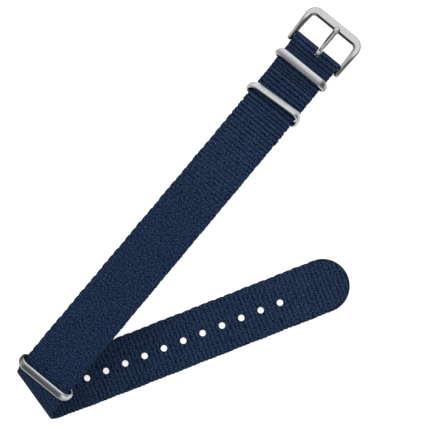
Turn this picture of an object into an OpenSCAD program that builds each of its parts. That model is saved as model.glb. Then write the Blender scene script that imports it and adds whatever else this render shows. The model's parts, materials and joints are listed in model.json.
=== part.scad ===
// Fabric watch strap of the pull-through kind, laid out with one soft fold.
// Two lengths of webbing carry a pin buckle and three steel keepers.
// X runs along the main strand towards the buckle, Y runs across it and Z is up from the table.

/* [Webbing] */
// Width of both bands
band_w = 20; // [18:0.5:24]
// Thickness of one layer of webbing
band_t = 1.2; // [1:0.05:1.4]
// Length of the long band along the webbing, from the buckle pin to the tip
band_length = 298.8; // [285:0.1:320]
// Gap between the two bands where one lies on the other
layer_gap = 0.1; // [0.05:0.05:0.3]

/* [Adjustment holes] */
// Number of holes
hole_count = 11; // [6:1:12]
// Diameter of a hole
hole_d = 2.35; // [1.8:0.05:3]
// Distance from one hole to the next
hole_pitch = 7.65; // [6:0.05:8.5]
// Distance from the tip to the first hole
hole_start = 26.9; // [18:0.1:32]

/* [Lie of the strap] */
// Slope at which the main strand climbs away from the flap, in degrees
climb = 12.8; // [10:0.1:15]
// Bend radius where the strand leaves the flat, at mid thickness
foot_r = 60; // [45:1:80]
// Bend radius of the crest before the end keeper, at mid thickness
crest_r = 11.8; // [9:0.1:16]
// Slope down through the end keeper, in degrees
dip = 13.5; // [8:0.5:20]
// Least flat length between the crest and the fold, at the band's edge
crest_ease = 0.1; // [0.05:0.05:3]
// Skew of the fold against square across, in degrees
fold_skew = 15.2; // [10:0.1:18]
// Bend radius of the soft fold, at mid thickness
fold_r = 8.25; // [7.5:0.05:10]
// Angle through which the fold turns, in degrees
fold_turn = 141.5; // [130:0.5:150]
// Least flat length between the fold and the long bend of the tail, at the band's edge
fold_ease = 0.3; // [0.05:0.05:3]
// Bend radius that lays the tail on the table
tail_r = 89.5; // [70:0.5:110]

/* [Flap and seams] */
// Distance from the pin to the first seam
neck_length = 4.3; // [3.6:0.1:4.4]
// Distance from the pin to the front keeper's axis
front_keeper_at = 9.2; // [9.2:0.1:11]
// Distance from the pin to the middle keeper's axis
middle_keeper_at = 26.6; // [24:0.1:28]
// Distance from the pin to the start of the short band
short_band_at = 31.8; // [31.8:0.1:34]
// Distance from the pin to the free end of the flap
flap_length = 37; // [36:0.5:42]
// Run of the webbing on each side of a keeper's bar, from the bar's edge to the seam
pocket_run = 3.1; // [2.9:0.05:3.3]
// Clearance over a keeper's bar when it leans as far as it goes
pocket_clear = 0.45; // [0.4:0.05:0.6]
// Clearance under a keeper's bar when it leans as far as it goes
pocket_floor = 0.2; // [0.1:0.05:0.3]

/* [Keepers] */
// Width of a keeper's wire along the strap
keeper_w = 3.2; // [2.6:0.05:3.4]
// Thickness of a keeper's wire
keeper_t = 1.25; // [1:0.05:1.4]
// Clear height inside a keeper
keeper_gap = 4.15; // [4:0.05:5]
// Clearance between the band's edge and the inside of a keeper
keeper_side = 0.5; // [0.4:0.05:1]
// Bend radius at a keeper's corners, at mid thickness
keeper_corner = 1.8; // [1:0.05:1.8]
// Furthest lean of the two sewn keepers to either side, in degrees
keeper_lean = 38; // [30:1:40]
// Lean of the front keeper towards the buckle at rest, in degrees
front_lean = 8; // [0:1:20]

/* [End keeper] */
// Distance from the crest's end to the end keeper's bar, along the band
end_bar_at = 1.6; // [1.2:0.1:2]
// Lean of the end keeper towards the fold against square to the band, in degrees
end_lean = 21; // [12:0.5:21.5]
// Half height of the space round the end keeper's bar
end_loop_r = 1.3; // [1.25:0.05:1.35]
// Half of the flat part of that space
end_loop_flat = 0.7; // [0.6:0.05:0.9]
// Run of the loop from that flat part back to where its layers meet
end_neck = 5; // [4.5:0.5:7]
// Length of the short band that is welded back on itself
end_weld = 6; // [4:0.5:10]
// Gap between the two bands at the crest
end_gap = 0.3; // [0.2:0.05:0.35]

/* [Buckle] */
// Distance from the pin to the buckle's front face
buckle_reach = 13.85; // [13:0.05:16]
// Width of the flat top of the front bar
front_bar_w = 2.25; // [1.8:0.05:3]
// Thickness of the front bar and of the arms
buckle_h = 2; // [1.7:0.05:2.2]
// Run of the bevel inside the front bar, below its flat top
bevel_run = 0.9; // [0.5:0.05:1.2]
// Height of that bevel
bevel_h = 1.2; // [0.8:0.05:1.4]
// Clearance between the band's edge and an arm
arm_clear = 0.15; // [0.1:0.05:0.4]
// Width of an arm at its end
arm_end_w = 1.75; // [1.7:0.05:2]
// Width of an arm next to the corner
arm_root_w = 2.2; // [2:0.05:2.6]
// Length of an arm behind the pin
arm_tail = 2.7; // [2.2:0.05:3]
// Outer radius of the buckle's corners
buckle_corner = 4.4; // [3.5:0.1:5]
// Radius of the opening's corners below the bevel
window_corner = 2; // [1.6:0.1:2.4]
// Chamfer round the buckle's edges
buckle_chamfer = 0.3; // [0.2:0.02:0.4]

/* [Tongue] */
// Diameter of the tongue's shank
shank_d = 1.56; // [1.3:0.02:1.7]
// Diameter of the round end
tongue_tip_d = 2.45; // [2:0.05:3]
// Distance from the pin to the end of the tongue
tongue_length = 12.15; // [11.6:0.05:12.4]
// Wall of the tongue's eye
tongue_wall = 0.45; // [0.4:0.05:0.5]
// Width of the tongue's eye
tongue_eye_w = 1.9; // [1.6:0.05:2]
// Clearance between the tongue's eye and the slot in the webbing, to each side
slot_clear = 0.22; // [0.15:0.01:0.4]
// Distance from the pin to the back end of that slot
slot_back = 1.75; // [1.7:0.05:2.2]
// Offset of the tongue and its slot from the middle of the band
tongue_y = -0.8; // [-1.5:0.1:1.5]

/* [Spring bar] */
// Outer diameter of the spring bar's tube
tube_d = 1.5; // [1.4:0.02:1.6]
// Running clearance on a radius, round the tube and round its tips
run_clear = 0.05; // [0.03:0.01:0.08]
// Wall of the tube
tube_wall = 0.23; // [0.2:0.01:0.25]
// Diameter of a tip where it enters an arm
tip_d = 0.8; // [0.7:0.02:0.84]
// Depth to which a tip enters an arm
tip_depth = 1.1; // [0.8:0.05:1.1]
// Length of a tip's shoulder
shoulder_l = 0.35; // [0.25:0.05:0.45]
// Number of turns of the spring
spring_turns = 16; // [10:1:20]

/* [Hidden] */
$fn = 64;

NAVY = [0.1, 0.15, 0.29];
STEEL = [0.72, 0.73, 0.74];
half_w = band_w / 2;

// Heights at the buckle end
eye_r = tube_d / 2 + run_clear;
pin_z = band_t + eye_r;
strand_z = 2.5 * band_t + layer_gap;
bar_half = (keeper_w - keeper_t) / 2;
bar_sweep = bar_half * sin(keeper_lean) + keeper_t / 2;
pocket_h = 2 * bar_sweep + pocket_floor + pocket_clear;
pocket_half = keeper_w / 2 + pocket_run;
keeper_axis_z = band_t + pocket_floor + bar_sweep;
keeper_rise = keeper_gap + keeper_t;

// Sizes of the tongue's eye, of its slot and of the gap on which it rests
tongue_eye_r = eye_r + tongue_wall;
tongue_rest = 0.06;
slot_w = tongue_eye_w + 2 * slot_clear;

// The bevel's upper edge is rounder than the opening below it
bevel_corner = window_corner + 2 / 3 * bevel_run;

// A frame on the band is its point, the way ahead, the way across, the outward normal and the distance travelled.
function spun(v, axis, turn) = v * cos(turn) + cross(axis, v) * sin(turn) + axis * (axis * v) * (1 - cos(turn));
function ahead(f, gap) = [f[0] + gap * f[1], f[1], f[2], f[3], f[4] + gap];

// A bend is its skew, its radius and its turn, which is positive where the band curls to its inner side.
// The webbing can't stretch, so it bends about straight lines only, which lie at the skew across the flat band.
function bend_line(f, skew) = cos(skew) * f[2] - sin(skew) * f[1];
function bend_way(f, skew) = cos(skew) * f[1] + sin(skew) * f[2];
function bend_length(b) = b[1] * abs(b[2]) * PI / 180;
function bent(f, b) =
    let (line = bend_line(f, b[0]), way = bend_way(f, b[0]), travel = bend_length(b) / cos(b[0]))
    let (shift = b[1] * sin(abs(b[2])) * way - sign(b[2]) * b[1] * (1 - cos(b[2])) * f[3])
    [
        f[0] + shift - travel * sin(b[0]) * line,
        spun(f[1], line, -b[2]), spun(f[2], line, -b[2]), spun(f[3], line, -b[2]),
        f[4] + travel
    ];

// The point of a bend that is turned by part of its angle, at b_across from the middle and w outside mid thickness
function bend_point(f, b, part, b_across, w) =
    let (line = bend_line(f, b[0]), way = bend_way(f, b[0]), turn = b[2] * part, l = bend_length(b) * part)
    let (along_line = b_across * cos(b[0]) - (l - b_across * sin(b[0])) * tan(b[0]))
    let (normal = f[3] * cos(turn) + way * sin(turn))
    f[0] + b[1] * sin(abs(turn)) * way - sign(b[2]) * b[1] * (1 - cos(turn)) * f[3]
        + along_line * line + w * normal;

// Four corners of the band's section on one bend line, and square across at a frame
function bend_ring(f, b, part) =
    [for (c = [[-1, 1], [1, 1], [1, -1], [-1, -1]]) bend_point(f, b, part, c[0] * half_w, c[1] * band_t / 2)];
function square_ring(f) =
    [for (c = [[-1, 1], [1, 1], [1, -1], [-1, -1]]) f[0] + c[0] * half_w * f[2] + c[1] * band_t / 2 * f[3]];
function bend_rings(f, b, steps) = [for (i = [0 : steps]) bend_ring(f, b, i / steps)];

// The long band's bends, from the flat by the seams to the flat tail
foot = [0, foot_r, -climb];
crest = [0, crest_r, climb + dip];
fold = [fold_skew, fold_r, fold_turn];
foot_in = ahead([[0, 0, strand_z], [-1, 0, 0], [0, 1, 0], [0, 0, 1], 0], flap_length + 0.5);
function crest_from(run) = ahead(bent(foot_in, foot), run);
// The last bend's line is level, and it turns the band until it is flat on the table
function settle_bend(f) =
    let (level = cross(f[3], [0, 0, 1]) / norm(cross(f[3], [0, 0, 1])))
    [atan2(-(level * f[1]), level * f[2]), tail_r, acos(-f[3][2])];
crest_flat = half_w * tan(fold_skew) + crest_ease;
folded = bent(bent(crest_from(0), crest), fold);
fold_flat = half_w * abs(tan(fold_skew) - tan(settle_bend(folded)[0])) + fold_ease;
function settle_from(run) = ahead(bent(ahead(bent(crest_from(run), crest), crest_flat), fold), fold_flat);
function tail_from(run) = bent(settle_from(run), settle_bend(settle_from(run)));
// The strand is as long as it takes to bring the tail down to the table
strand_run = (band_t / 2 - tail_from(0)[0][2]) / sin(climb);
crest_in = crest_from(strand_run);
crest_out = bent(crest_in, crest);
fold_in = ahead(crest_out, crest_flat);
settle_in = settle_from(strand_run);
settle = settle_bend(settle_in);
tail_in = bent(settle_in, settle);
tail_way = atan2(tail_in[1][1], tail_in[1][0]);
tip_frame = ahead(tail_in, band_length - tail_in[4]);

// The end keeper's bar lies under the band, in the short band's loop
end_axis_depth = band_t / 2 + end_gap + band_t + end_loop_r;
end_axis = ahead(crest_out, end_bar_at)[0] - end_axis_depth * crest_out[3];
end_tilt = dip + end_lean;

// The middle of the whole strap's outline is the origin
nose = [buckle_reach - buckle_chamfer, buckle_h / 2];
buckle_droop = asin(pin_z / norm(nose)) - atan2(nose[1], nose[0]);
fold_points = [for (part = [0 : 1 / 24 : 1], side = [-1, 1])
    bend_point(fold_in, fold, part, side * half_w, band_t / 2)];
x_low = min([for (p = fold_points) p[0]]);
x_high = buckle_reach * cos(buckle_droop) + (buckle_h / 2 - buckle_chamfer) * sin(buckle_droop);
y_low = (tip_frame[0] - half_w * tip_frame[1])[1] - half_w;
y_high = half_w + arm_clear + arm_root_w;
middle = [(x_low + x_high) / 2, (y_low + y_high) / 2, 0];

module centred() { translate(-middle) children(); }
module at_pin() { centred() translate([0, 0, pin_z]) rotate([0, buckle_droop, 0]) children(); }
module across(length) { rotate([90, 0, 0]) linear_extrude(length, center = true) children(); }

// A skin over rings of four points, closed at both ends
module band_skin(rings) {
    last = len(rings) - 1;
    walls = [for (i = [0 : last - 1], j = [0 : 3], half = [0, 1])
        let (k = (j + 1) % 4)
        half == 0 ? [4 * i + k, 4 * i + j, 4 * i + 4 + j] : [4 * i + k, 4 * i + 4 + j, 4 * i + 4 + k]];
    e = 4 * last;
    ends = [[0, 1, 2], [0, 2, 3], [e + 2, e + 1, e], [e + 3, e + 2, e]];
    polyhedron([for (ring = rings, p = ring) p], concat(walls, ends));
}

// Height of the underside of the upper layer at a distance d behind the pin
function hump(d, at, half) = abs(d - at) < half ? (1 + cos(180 * (d - at) / half)) / 2 : 0;
function rise(d, from, to) = d <= from ? 0 : d >= to ? 1 : (1 - cos(180 * (d - from) / (to - from))) / 2;
function under(d) = band_t + 2 * eye_r * hump(d, 0, neck_length)
    + pocket_h * (hump(d, front_keeper_at, pocket_half) + hump(d, middle_keeper_at, pocket_half))
    + (band_t + layer_gap) * rise(d, middle_keeper_at + 1, short_band_at);
function over(d) =
    let (slope = (under(d + 0.01) - under(d - 0.01)) / 0.02, size = sqrt(1 + slope * slope))
    [-d + band_t * slope / size, under(d) + band_t / size];
function void_points(from, to) =
    let (step = (to - from) / ceil((to - from) * 3))
    concat([[-to, band_t], [-from, band_t]], [for (d = [from : step : to + step / 2]) [-d, under(d)]]);

// Section of the turned and sewn end, with the eye for the pin and a pocket for each keeper
module flap_section() {
    steps = 120;
    difference() {
        union() {
            translate([0, pin_z]) circle(eye_r + band_t);
            polygon(concat([[-flap_length, 0], [0, 0]],
                [for (i = [0 : steps]) over(flap_length * i / steps)]));
        }
        translate([0, pin_z]) circle(eye_r);
        polygon(void_points(0, neck_length));
        polygon(void_points(front_keeper_at - pocket_half, front_keeper_at + pocket_half));
        polygon(void_points(middle_keeper_at - pocket_half, flap_length));
    }
}

// Place of hole i, counted from the tip, and the webbing's slope there
function hole_place(i) =
    let (a = band_length - hole_start - i * hole_pitch)
    let (part = (a - settle_in[4]) * cos(settle[0]) / bend_length(settle))
    part >= 1
        ? [ahead(tail_in, a - tail_in[4])[0], 0]
        : [bend_point(settle_in, settle, part, 0, 0), settle[2] * (1 - part)];

module long_band() color(NAVY) centred() difference() {
    union() {
        across(band_w) flap_section();
        band_skin(concat(
            [square_ring(ahead(foot_in, flap_length - foot_in[4]))],
            bend_rings(foot_in, foot, 6),
            bend_rings(crest_in, crest, 8),
            bend_rings(fold_in, fold, 28),
            bend_rings(settle_in, settle, 12),
            [square_ring(tip_frame)]));
    }
    // slot for the tongue, through the turn round the pin
    translate([-slot_back, tongue_y - slot_w / 2, -1]) cube([slot_back + 2 * pin_z, slot_w, 4 * pin_z]);
    // adjustment holes, square to the webbing where it still curves
    for (i = [0 : hole_count - 1])
        translate(hole_place(i)[0]) rotate(a = hole_place(i)[1], v = bend_line(settle_in, settle[0]))
            cylinder(h = 4 * band_t, d = hole_d, center = true);
    // round tip
    translate(tip_frame[0]) rotate(tail_way) translate([-half_w, 0, 0]) difference() {
        translate([0, -band_w, -band_t]) cube([band_w, 2 * band_w, 2 * band_t]);
        cylinder(h = 4 * band_t, r = half_w, center = true, $fn = 96);
    }
}

// The short band lies under the long one. Its section is drawn by the distance l along it, from the crest's
// end, and the distance w outside its own mid thickness.
short_slope = climb - asin((end_gap - layer_gap) / strand_run);
short_crest_r = crest_r - band_t - end_gap;
short_crest_l = short_crest_r * (short_slope + dip) * PI / 180;
crest_middle = crest_in[0] - crest_r * crest_in[3];
foot_middle = foot_in[0] + foot_r * foot_in[3];
function crest_spot(angle, r) = [crest_middle[0] + r * sin(angle), crest_middle[2] + r * cos(angle)];
function foot_spot(angle, r) = [foot_middle[0] - r * sin(angle), foot_middle[2] - r * cos(angle)];
function short_at(l, w) =
    let (r = short_crest_r + w)
    l > 0 ? crest_spot(-dip, r) - l * [cos(dip), sin(dip)]
    : l > -short_crest_l ? crest_spot(-dip - l / short_crest_r * 180 / PI, r)
    : crest_spot(short_slope, r) + (l + short_crest_l) * [-cos(short_slope), sin(short_slope)];

// The loop's space is open up to its neck, where the returned layer meets the band again
loop_front = end_bar_at + end_loop_flat;
loop_back = end_bar_at - end_loop_flat - end_neck;
function loop_open(l) = 2 * end_loop_r * rise(l, loop_back, end_bar_at - end_loop_flat);
function loop_under(l) =
    let (slope = (loop_open(l + 0.01) - loop_open(l - 0.01)) / 0.02, size = sqrt(1 + slope * slope))
    short_at(l - band_t * slope / size, -band_t / 2 - loop_open(l) - band_t / size);

// A point of the loop's round end at an angle above the band's own direction
function loop_end(angle, r) = short_at(loop_front + r * cos(angle), -band_t / 2 - end_loop_r + r * sin(angle));

module short_section() {
    half_t = band_t / 2;
    foot_mid_r = foot_r + band_t + layer_gap;
    crest_steps = [for (i = [0 : 8]) -short_crest_l * (1 - i / 8)];
    loop_steps = [for (i = [0 : 16]) loop_front + (loop_back - loop_front) * i / 16];
    weld_steps = [for (i = [1 : 8]) loop_back - end_weld * i / 8];
    difference() {
        // the run from its start in the seam to the loop, round the loop and back under itself
        polygon(concat(
            [[-short_band_at, 2 * band_t]],
            [for (i = [0 : 6]) foot_spot(short_slope * i / 6, foot_mid_r - half_t)],
            [for (l = crest_steps) short_at(l, half_t)],
            [for (i = [0 : 23]) loop_end(90 - 7.5 * i, end_loop_r + band_t)],
            [for (l = loop_steps) loop_under(l)],
            [for (l = weld_steps) short_at(l, -3 * half_t)],
            [short_at(loop_back - end_weld, -half_t)],
            [for (i = [6 : -1 : 0]) foot_spot(short_slope * i / 6, foot_mid_r + half_t)],
            [[-short_band_at, band_t]]));
        // space for the end keeper's bar, which tapers to a line at the neck
        polygon(concat(
            [for (i = [0 : 23]) loop_end(90 - 7.5 * i, end_loop_r)],
            [for (l = loop_steps) short_at(l, -half_t - loop_open(l))],
            [for (i = [15 : -1 : 1]) short_at(loop_steps[i], -half_t)]));
    }
}

module short_band() color(NAVY) centred() across(band_w) short_section();

// The wire's flat oval section, with its width along Y
module wire_section() {
    square([keeper_t, 2 * bar_half], center = true);
    for (side = [-1, 1])
        translate([0, side * bar_half]) circle(keeper_t / 2);
}

// One keeper in its own frame: the lower bar lies on the Y axis and the upper bar stands over it
module keeper() {
    half_span = half_w + keeper_side + keeper_t / 2 - keeper_corner;
    side_run = keeper_rise - 2 * keeper_corner;
    for (z = [0, keeper_rise])
        translate([0, 0, z]) rotate([90, 90, 0]) linear_extrude(2 * half_span, center = true) wire_section();
    for (side = [-1, 1]) {
        translate([0, side * (half_span + keeper_corner), keeper_rise / 2])
            rotate([0, 0, 90]) linear_extrude(side_run, center = true) wire_section();
        for (turn = [0, 1])
            translate([0, side * half_span, turn == 0 ? keeper_corner : keeper_rise - keeper_corner])
                rotate([0, 0, side * 90]) rotate([90, turn == 0 ? 90 : 0, 0])
                    rotate_extrude(angle = 90) translate([keeper_corner, 0]) wire_section();
    }
}

module front_keeper() color(STEEL) centred()
    translate([-front_keeper_at, 0, keeper_axis_z]) rotate([0, front_lean, 0]) keeper();

module middle_keeper() color(STEEL) centred()
    translate([-middle_keeper_at, 0, keeper_axis_z]) rotate([0, keeper_lean, 0]) keeper();

module end_keeper() color(STEEL) centred()
    translate(end_axis) rotate([0, -end_tilt, 0]) keeper();

// Outline of the buckle from above, with the pin on the Y axis
wide = half_w + arm_clear + arm_root_w;
narrow = half_w + arm_clear + arm_end_w;
corner_x = buckle_reach - buckle_corner;
arm_taper = atan2(wide - narrow, corner_x + arm_tail);
module buckle_outline() {
    for (side = [-1, 1])
        translate([corner_x, side * (wide - buckle_corner)]) circle(buckle_corner);
    polygon([
        [-arm_tail, -narrow], [corner_x, -wide],
        [corner_x, buckle_corner - wide], [buckle_reach, buckle_corner - wide],
        [buckle_reach, wide - buckle_corner], [corner_x, wide - buckle_corner],
        [corner_x, wide], [-arm_tail, narrow]]);
}

// The opening up to a given distance from the pin, with round inner corners
module opening_outline(reach, corner) {
    inner = half_w + arm_clear;
    for (side = [-1, 1])
        translate([reach - corner, side * (inner - corner)]) circle(corner);
    polygon([
        [-arm_tail - 1, -inner], [reach - corner, -inner],
        [reach - corner, corner - inner], [reach, corner - inner],
        [reach, inner - corner], [reach - corner, inner - corner],
        [reach - corner, inner], [-arm_tail - 1, inner]]);
}

// Section of the buckle along its arms, with a chamfered front and round arm ends
module buckle_side() {
    half_h = buckle_h / 2;
    translate([half_h - arm_tail, 0]) circle(half_h);
    polygon([
        [half_h - arm_tail, -half_h], [buckle_reach - buckle_chamfer, -half_h],
        [buckle_reach, buckle_chamfer - half_h], [buckle_reach, half_h - buckle_chamfer],
        [buckle_reach - buckle_chamfer, half_h], [half_h - arm_tail, half_h]]);
}

module buckle_frame() color(STEEL) at_pin() {
    inner_x = buckle_reach - front_bar_w;
    half_h = buckle_h / 2;
    difference() {
        intersection() {
            linear_extrude(buckle_h, center = true) buckle_outline();
            across(3 * half_w) buckle_side();
        }
        // chamfers round the outer corners and along the arms, which thin out towards their ends
        for (side = [-1, 1], face = [0, 1]) mirror([0, side < 0 ? 1 : 0, 0]) mirror([0, 0, face]) {
            translate([corner_x, wide - buckle_corner, 0]) rotate_extrude(angle = 91)
                polygon([
                    [buckle_corner - buckle_chamfer - 0.2, half_h + 0.2], [buckle_corner + 1, half_h + 0.2],
                    [buckle_corner + 1, half_h - buckle_chamfer - 1]]);
            translate([corner_x, wide, half_h]) rotate([0, 0, 2 * arm_taper]) rotate([45, 0, 0])
                translate([-2 * buckle_reach, -1, -buckle_chamfer * sqrt(0.5)]) cube([2 * buckle_reach, 2, 2]);
        }
        // opening, with a bevel from the front bar's flat top
        linear_extrude(2 * buckle_h, center = true) opening_outline(inner_x - bevel_run, window_corner);
        intersection() {
            linear_extrude(2 * buckle_h, center = true) opening_outline(inner_x + bevel_run / bevel_h, bevel_corner);
            across(3 * half_w) polygon([
                [-arm_tail - 1, half_h + 1], [inner_x + bevel_run / bevel_h, half_h + 1],
                [inner_x - bevel_run, half_h - bevel_h], [-arm_tail - 1, half_h - bevel_h]]);
        }
        // blind holes for the spring bar's tips
        for (side = [-1, 1])
            translate([0, side * (half_w + arm_clear - 0.5), 0]) rotate([-side * 90, 0, 0])
                cylinder(h = tip_depth + 0.6, r = tip_d / 2 + run_clear);
    }
}

// The tongue is an eye round the tube, a straight shank and a round end that rests on the front bar
module buckle_tongue() color(STEEL) at_pin() translate([0, tongue_y, 0]) {
    shank_z = tongue_eye_r - shank_d / 2;
    tip_z = buckle_h / 2 + tongue_rest + shank_d / 2;
    tip_x = tongue_length - tongue_tip_d / 2;
    shank_tilt = atan2(tip_z - shank_z, tip_x);
    rim = (tongue_tip_d - shank_d) / 2;
    difference() {
        union() {
            rotate([90, 0, 0]) cylinder(h = tongue_eye_w, r = tongue_eye_r, center = true);
            translate([0, 0, shank_z]) rotate([0, 90 - shank_tilt, 0])
                cylinder(h = tip_x / cos(shank_tilt), d = shank_d);
            translate([tip_x, 0, tip_z]) rotate_extrude() {
                translate([0, -shank_d / 2]) square([rim, shank_d]);
                intersection() {
                    translate([rim, 0]) circle(shank_d / 2);
                    translate([0, -shank_d]) square([tongue_tip_d, 2 * shank_d]);
                }
            }
        }
        rotate([90, 0, 0]) cylinder(h = 2 * tongue_eye_w, r = eye_r, center = true);
    }
}

// Places along the spring bar, measured from its middle
tip_reach = half_w + arm_clear + tip_depth;
shoulder_out = half_w + arm_clear - 0.1;
tip_travel = tip_depth + 0.2;
tube_end = shoulder_out - shoulder_l - tip_travel - 0.05;
crimp = 0.4;
collar_out = tube_end - crimp - 0.02;
collar_in = collar_out - 0.7;
bore_r = tube_d / 2 - tube_wall;

module along_bar(from, to, r) {
    translate([0, from, 0]) rotate([-90, 0, 0]) cylinder(h = to - from, r = r);
}

module spring_bar_tube() color(STEEL) at_pin() difference() {
    along_bar(-tube_end, tube_end, tube_d / 2);
    along_bar(-tube_end + crimp, tube_end - crimp, bore_r);
    along_bar(-tube_end - 1, tube_end + 1, tip_d / 2 + run_clear);
}

module spring_bar_tip() {
    along_bar(collar_in, collar_out, bore_r - run_clear);
    along_bar(collar_out, shoulder_out - shoulder_l, tip_d / 2);
    along_bar(shoulder_out - shoulder_l, shoulder_out, tube_d / 2 - run_clear);
    along_bar(shoulder_out, tip_reach, tip_d / 2);
}

module spring_bar_tip_left() color(STEEL) at_pin() spring_bar_tip();
module spring_bar_tip_right() color(STEEL) at_pin() mirror([0, 1, 0]) spring_bar_tip();

// One unbroken tube along the helix, which ends just short of the tips
spring_wire_r = 0.06;
coil_r = bore_r - spring_wire_r - 0.03;
coil_length = 2 * (collar_in - spring_wire_r - 0.02);
spring_steps = 8 * spring_turns;
function coil_out(i) = [cos(45 * i), 0, sin(45 * i)];
function coil_spot(i) = coil_r * coil_out(i) + [0, coil_length * (i / spring_steps - 0.5), 0];
echo(least_gap_between_turns = coil_length / spring_turns - 2 * spring_wire_r);
module spring_bar_spring() color(STEEL) at_pin() {
    sides = 6;
    points = [for (i = [0 : spring_steps], j = [0 : sides - 1])
        coil_spot(i) + spring_wire_r * (cos(60 * j) * coil_out(i) + sin(60 * j) * [0, 1, 0])];
    walls = [for (i = [0 : spring_steps - 1], j = [0 : sides - 1], half = [0, 1])
        let (k = (j + 1) % sides, a = sides * i, b = sides * (i + 1))
        half == 0 ? [a + j, b + j, a + k] : [a + k, b + j, b + k]];
    last = sides * spring_steps;
    caps = [for (j = [1 : sides - 2], end = [0, 1]) end == 0 ? [0, j, j + 1] : [last, last + j + 1, last + j]];
    polyhedron(points, concat(walls, caps));
}

// Places of the joints
echo(pin = -middle + [0, 0, pin_z], tip_out = tip_reach, droop = buckle_droop);
echo(front_keeper_axis = [-front_keeper_at, 0, keeper_axis_z] - middle);
echo(middle_keeper_axis = [-middle_keeper_at, 0, keeper_axis_z] - middle);
echo(end_keeper_axis = end_axis - middle, fold_start = fold_in[0] - middle);
echo(tail_start = tail_in[0] - middle, tail_way = tail_way, tip = tip_frame[0] - middle);

long_band();
short_band();
buckle_frame();
buckle_tongue();
spring_bar_tube();
spring_bar_tip_left();
spring_bar_tip_right();
spring_bar_spring();
front_keeper();
middle_keeper();
end_keeper();
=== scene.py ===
"""Looks of a pull-through fabric watch strap: ribbed navy webbing, satin steel buckle and keepers."""
import json
import math

import bmesh
import bpy
import numpy as np
from mathutils import Matrix, Vector


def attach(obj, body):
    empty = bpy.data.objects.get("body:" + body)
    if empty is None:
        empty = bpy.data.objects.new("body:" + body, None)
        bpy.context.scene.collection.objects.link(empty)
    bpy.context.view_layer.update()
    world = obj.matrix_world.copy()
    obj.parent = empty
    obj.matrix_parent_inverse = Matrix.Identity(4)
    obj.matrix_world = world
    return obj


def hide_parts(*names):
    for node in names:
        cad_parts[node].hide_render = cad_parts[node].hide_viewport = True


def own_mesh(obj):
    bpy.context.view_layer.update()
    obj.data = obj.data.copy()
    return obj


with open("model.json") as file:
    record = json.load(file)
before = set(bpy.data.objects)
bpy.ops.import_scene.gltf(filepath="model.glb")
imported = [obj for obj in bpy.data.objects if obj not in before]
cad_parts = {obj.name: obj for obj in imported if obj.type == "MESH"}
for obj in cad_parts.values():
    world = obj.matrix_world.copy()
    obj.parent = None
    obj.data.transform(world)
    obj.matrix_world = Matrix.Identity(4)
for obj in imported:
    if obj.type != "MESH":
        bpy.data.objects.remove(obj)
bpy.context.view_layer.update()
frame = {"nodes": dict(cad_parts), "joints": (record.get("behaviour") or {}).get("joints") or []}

MM = 0.001

# ---------------- sizes, in millimetres, as in the part's source
BAND_W, BAND_T, BAND_LENGTH, LAYER_GAP = 20.0, 1.2, 298.8, 0.1
HOLES, HOLE_D, HOLE_PITCH, HOLE_START = 11, 2.35, 7.65, 26.9
CLIMB, DIP, FOOT_R, CREST_R = 12.8, 13.5, 60.0, 11.8
FOLD_SKEW, FOLD_R, FOLD_TURN, TAIL_R = 15.2, 8.25, 141.5, 89.5
CREST_EASE, FOLD_EASE = 0.1, 0.3
NECK, FRONT_AT, MIDDLE_AT, SHORT_AT, FLAP = 4.3, 9.2, 26.6, 31.8, 37.0
KEEPER_W, KEEPER_T = 3.2, 1.25
KEEPER_LEAN, FRONT_LEAN, END_LEAN = 38.0, 8.0, 21.0
POCKET_RUN, POCKET_CLEAR, POCKET_FLOOR = 3.1, 0.45, 0.2
END_BAR_AT, LOOP_R, LOOP_FLAT, LOOP_NECK, LOOP_WELD, END_GAP = 1.6, 1.3, 0.7, 5.0, 6.0, 0.3
REACH, FRAME_H, ARM_CLEAR, ARM_END, ARM_ROOT = 13.85, 2.0, 0.15, 1.75, 2.2
ARM_TAIL, CORNER = 2.7, 4.4
TUBE_R, RUN_CLEAR, SHANK_D, BULB_D, TONGUE_LENGTH, TONGUE_Y = 0.75, 0.05, 1.56, 2.45, 12.15, -0.8
TONGUE_WALL, SLOT_BACK = 0.45, 1.75
DROOP, SEAMS = 4.244, (14.6, 21.0)
SPRING_TURNS, SPRING_LENGTH, COIL_R, WIRE_R, TIP_TRAVEL = 16, 14.3, 0.43, 0.06, 1.1

# ---------------- sizes that only the looks have
RIB_PITCH, RIB_DEPTH, YARN_PITCH = 1.66, 0.045, 0.92
SELVEDGE_PITCH, SELVEDGE_DEPTH, SELVEDGE_R, SELVEDGE_STEPS = 3.32, 0.27, 0.32, 4
# how deep the selvedge's long and short waves are on each side
SELVEDGE_WAVES = {1: (0.24, 0.05), -1: (0.06, 0.15)}
# the tongue's slot: where it starts on the band's inner and outer side, its half width and its squareness
SLOT_FROM, SLOT_FROM_OUTSIDE, SLOT_HALF, SLOT_POWER = -1.45, -1.35, 0.86, 4.5

HALF = BAND_W / 2
EYE_R = TUBE_R + RUN_CLEAR
PIN_Z = BAND_T + EYE_R
STRAND_Z = 2.5 * BAND_T + LAYER_GAP
STRAND_FROM = FLAP + 0.5
BAR_HALF = (KEEPER_W - KEEPER_T) / 2
HUB = next(j for j in frame["joints"] if j["name"] == "buckle_hinge")["pos_m"]
PIN_AT = np.array([HUB[0] / MM, HUB[1] / MM, 0.0])


def rad(degrees):
    return math.radians(degrees)


# ---------------- the webbing's path
def spun(v, axis, degrees):
    c, s = math.cos(rad(degrees)), math.sin(rad(degrees))
    return v * c + np.cross(axis, v) * s + axis * (axis @ v) * (1 - c)


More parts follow.
